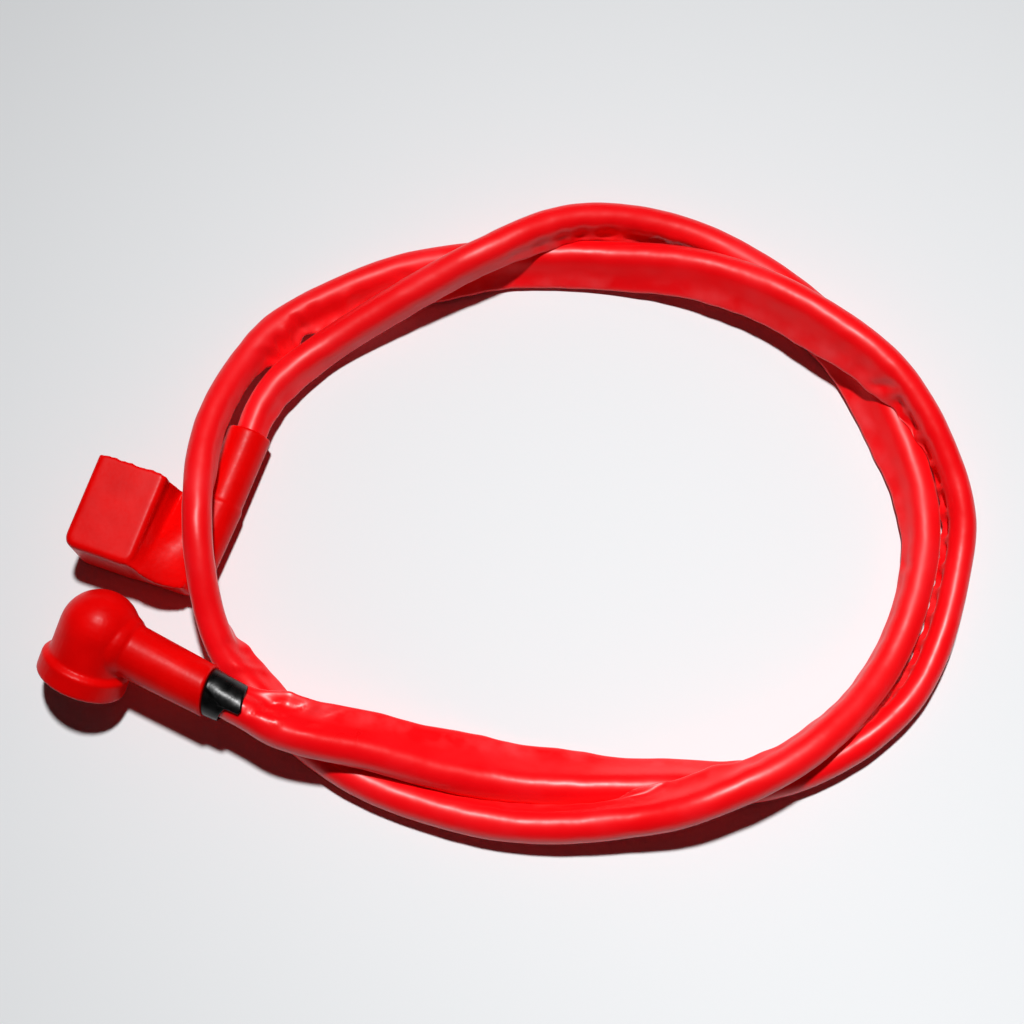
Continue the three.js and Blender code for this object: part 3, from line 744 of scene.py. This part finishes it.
def grained_material(name, grain_size, tones, roughness, bump, detail=3.0, **settings):
    """A plain solid whose tone, roughness and relief follow one noise of the grain's size, which
    is drawn coarser than the real one where that is too fine to show.

    Tones are the darker and the lighter colour, roughness its two ends, and bump is the strength
    and the depth of the relief.
    """
    made, tree = material(name)
    place = add(tree, "ShaderNodeTexCoord").outputs["Object"]
    grain = add(tree, "ShaderNodeTexNoise", {"Vector": place}, Scale=1 / grain_size, Detail=detail)
    tone = add(tree, "ShaderNodeValToRGB", {"Fac": grain.outputs["Fac"]}, stops=[
        (0.3, srgb(tones[0])), (0.7, srgb(tones[1]))])
    rough = add(tree, "ShaderNodeMapRange", {"Value": grain.outputs["Fac"]},
                From_Min=0.3, From_Max=0.7, To_Min=roughness[0], To_Max=roughness[1])
    relief = add(tree, "ShaderNodeBump", {"Height": grain.outputs["Fac"]},
                 Strength=bump[0], Distance=bump[1])
    shader = add(tree, "ShaderNodeBsdfPrincipled", {
        "Base Color": tone.outputs["Color"], "Roughness": rough.outputs["Result"],
        "Normal": relief.outputs["Normal"]}, **settings)
    output(tree, shader)
    return made


def tape_material():
    """Black PVC tape: glossy, with faint stretch marks."""
    return grained_material("black_pvc_tape", 1.8 * MM, ("#050505", "#0D0D0D"), (0.24, 0.36),
                            (0.5, 0.12 * MM), Specular_IOR_Level=0.3)


def insulation_material():
    """Black PVC cable insulation with a dull extruded surface."""
    return grained_material("black_pvc_insulation", 0.9 * MM, ("#101010", "#1B1B1B"), (0.42, 0.56),
                            (0.3, 0.03 * MM))


def tinned_material():
    """Tin-plated copper, stamped: a soft grey shine, slightly mottled."""
    return grained_material("tin_plated_copper", 1.2 * MM, ("#B9BBBD", "#D2D3D4"), (0.28, 0.42),
                            (0.4, 0.02 * MM), detail=4.0, Metallic=1.0)


def strand_material():
    """Bare copper strands, drawn: a warm, slightly mottled metal."""
    return grained_material("bare_copper_strands", 1.2 * MM, ("#A8623A", "#C98056"), (0.32, 0.46),
                            (0.4, 0.02 * MM), detail=4.0, Metallic=1.0)


def dress(made, finish):
    """Puts one material on an object, in every slot that it has."""
    slots = made.data.materials
    if len(slots) == 0:
        slots.append(finish)
    for k in range(len(slots)):
        slots[k] = finish


boot_pvc = boot_material()
tinned = tinned_material()
dress(sleeve, sleeve_material())
dress(tape, tape_material())
dress(nodes["right_angle_boot"], boot_pvc)
dress(nodes["battery_hood"], boot_pvc)
dress(nodes["ring_lug"], tinned)
dress(nodes["flag_lug"], tinned)
dress(nodes["copper_conductor"], strand_material())
dress(jacket, insulation_material())

# Dip-moulded edges are soft: the kept boots are rounded over in finer meshes
SKIN_VOXELS = {"right_angle_boot": 0.32, "battery_hood": 0.38}
SOFTEN_SHARE = 0.5
SOFTEN_ROUNDS = 6
for name, voxel in SKIN_VOXELS.items():
    remesh = nodes[name].modifiers.new("moulded_skin", "REMESH")
    remesh.mode = "VOXEL"
    remesh.voxel_size = voxel * MM
    remesh.use_smooth_shade = True
    soften = nodes[name].modifiers.new("soft_edges", "SMOOTH")
    soften.factor = SOFTEN_SHARE
    soften.iterations = SOFTEN_ROUNDS

# What stands for what
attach(sleeve, "root")
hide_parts("outer_sleeve")
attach(tape, "root")
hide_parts("tape_wrap")
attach(jacket, "root")
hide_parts("cable_insulation")

# Pale floor
FLOOR_HALF = 3.0
floor_corners = np.array([[-1, -1, 0], [1, -1, 0], [1, 1, 0], [-1, 1, 0]]) * FLOOR_HALF
floor = add_object("floor", floor_corners, [[0, 1, 2, 3]], smooth=False)
floor_finish, floor_tree = material("pale_floor")
floor_shader = add(floor_tree, "ShaderNodeBsdfPrincipled", Roughness=0.6, Base_Color=srgb("#E7E9EB"))
output(floor_tree, floor_shader)
dress(floor, floor_finish)


# Studio light: a near key light from above, a wide weak fill and a faint surround
def area_light(name, place, target, size, power, spread=180.0):
    """A round area light that looks at its target, with its spread in degrees."""
    data = bpy.data.lights.new(name, "AREA")
    data.shape = "DISK"
    data.size = size
    data.energy = power
    data.spread = np.radians(spread)
    lamp = bpy.data.objects.new(name, data)
    lamp.location = Vector(place)
    lamp.rotation_euler = (Vector(target) - Vector(place)).to_track_quat("-Z", "Y").to_euler()
    bpy.context.collection.objects.link(lamp)


area_light("key", place=(0.09, 0.28, 1.0), target=(0.175, -0.15, 0.0), size=0.08, power=2.35, spread=80.0)
area_light("fill", place=(0.08, 0.35, 1.20), target=(0.077, 0.015, 0.0), size=1.0, power=0.05)
WORLD_STRENGTH = 0.008
world = bpy.data.worlds.new("studio")
world.use_nodes = True
background = world.node_tree.nodes["Background"]
background.inputs["Color"].default_value = srgb("#F4F4F8")
background.inputs["Strength"].default_value = WORLD_STRENGTH
bpy.context.scene.world = world
bpy.context.scene.view_settings.view_transform = "Standard"
